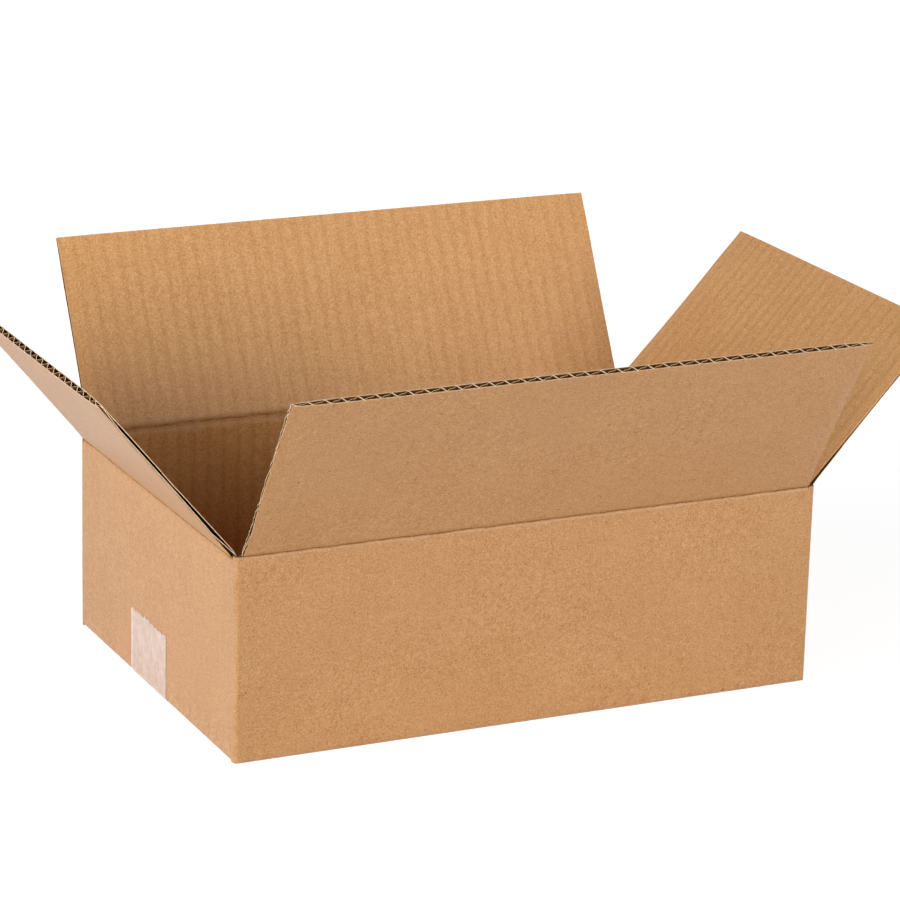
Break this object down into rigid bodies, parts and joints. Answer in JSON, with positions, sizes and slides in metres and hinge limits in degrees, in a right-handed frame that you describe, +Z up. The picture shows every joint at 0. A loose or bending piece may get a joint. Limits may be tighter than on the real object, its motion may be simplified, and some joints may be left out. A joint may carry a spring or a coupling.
{
  "type": "open cardboard box",
  "caption": "Shallow rectangular corrugated box with a taped bottom, standing open, with hinged top flaps splayed outwards along each wall.",
  "frame": {"origin": "middle of the box's footprint, on the plane that it stands on", "axes": "+Z up, +X along the box's long side, -Y out of its front wall"},
  "size_m": [0.4511, 0.3152, 0.1976],
  "materials": {
    "board": "matte",
    "fluted_board": "matte",
    "clear_tape": "satin"
  },
  "bodies": {
    "carton": {"carton": "board", "bottom_tape": "clear_tape"},
    "front_flap": {"front_flap": "fluted_board"},
    "back_flap": {"back_flap": "fluted_board"},
    "left_flap": {"left_flap": "fluted_board"},
    "right_flap": {"right_flap": "fluted_board"}
  },
  "joints": [
    {"name": "front_flap_crease", "type": "hinge", "parent": "carton", "child": "front_flap", "pos_m": [0, -0.10425, 0.10505], "axis": [1, 0, 0], "range_deg": [-121.7, 118.3]},
    {"name": "back_flap_crease", "type": "hinge", "parent": "carton", "child": "back_flap", "pos_m": [0, 0.10425, 0.10505], "axis": [-1, 0, 0], "range_deg": [-118.1, 121.9]},
    {"name": "left_flap_crease", "type": "hinge", "parent": "carton", "child": "left_flap", "pos_m": [-0.1562, 0, 0.10275], "axis": [0, -1, 0], "range_deg": [-129.8, 110.2]},
    {"name": "right_flap_crease", "type": "hinge", "parent": "carton", "child": "right_flap", "pos_m": [0.1562, 0, 0.10275], "axis": [0, 1, 0], "range_deg": [-132.8, 107.2]}
  ]
}
